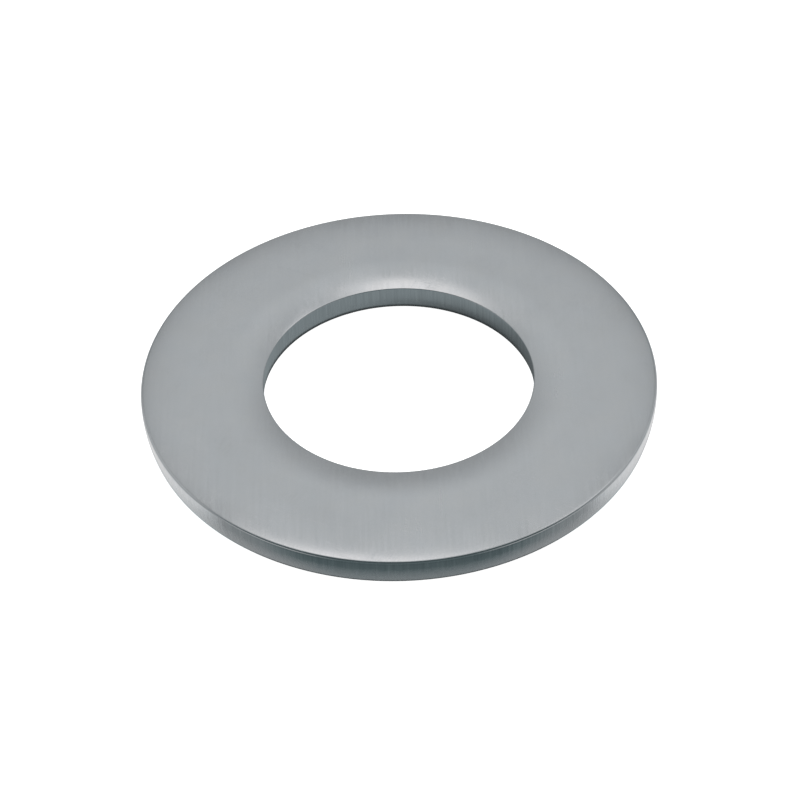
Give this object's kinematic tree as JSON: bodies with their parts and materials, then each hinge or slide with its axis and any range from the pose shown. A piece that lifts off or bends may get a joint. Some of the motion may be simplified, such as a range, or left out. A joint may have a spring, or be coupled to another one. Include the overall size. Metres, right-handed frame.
{
  "type": "flat washer",
  "caption": "Thin flat washer: a one-piece stamped steel ring with a clearance bore, a top face rolled over softly at both rims, and a flat underside.",
  "frame": {"origin": "centre of the underside, on the bore's axis, so the washer lies on Z = 0", "axes": "+Z along the bore's axis, out of the rolled-over top face; X and Y are interchangeable"},
  "size_m": [0.02, 0.02, 0.0012],
  "materials": {
    "zinc_plated_steel": "satin grey metal, as tumbled and zinc plated steel, slightly cool in tone"
  },
  "bodies": {
    "root": {"flat_washer": "zinc_plated_steel"}
  },
  "joints": []
}
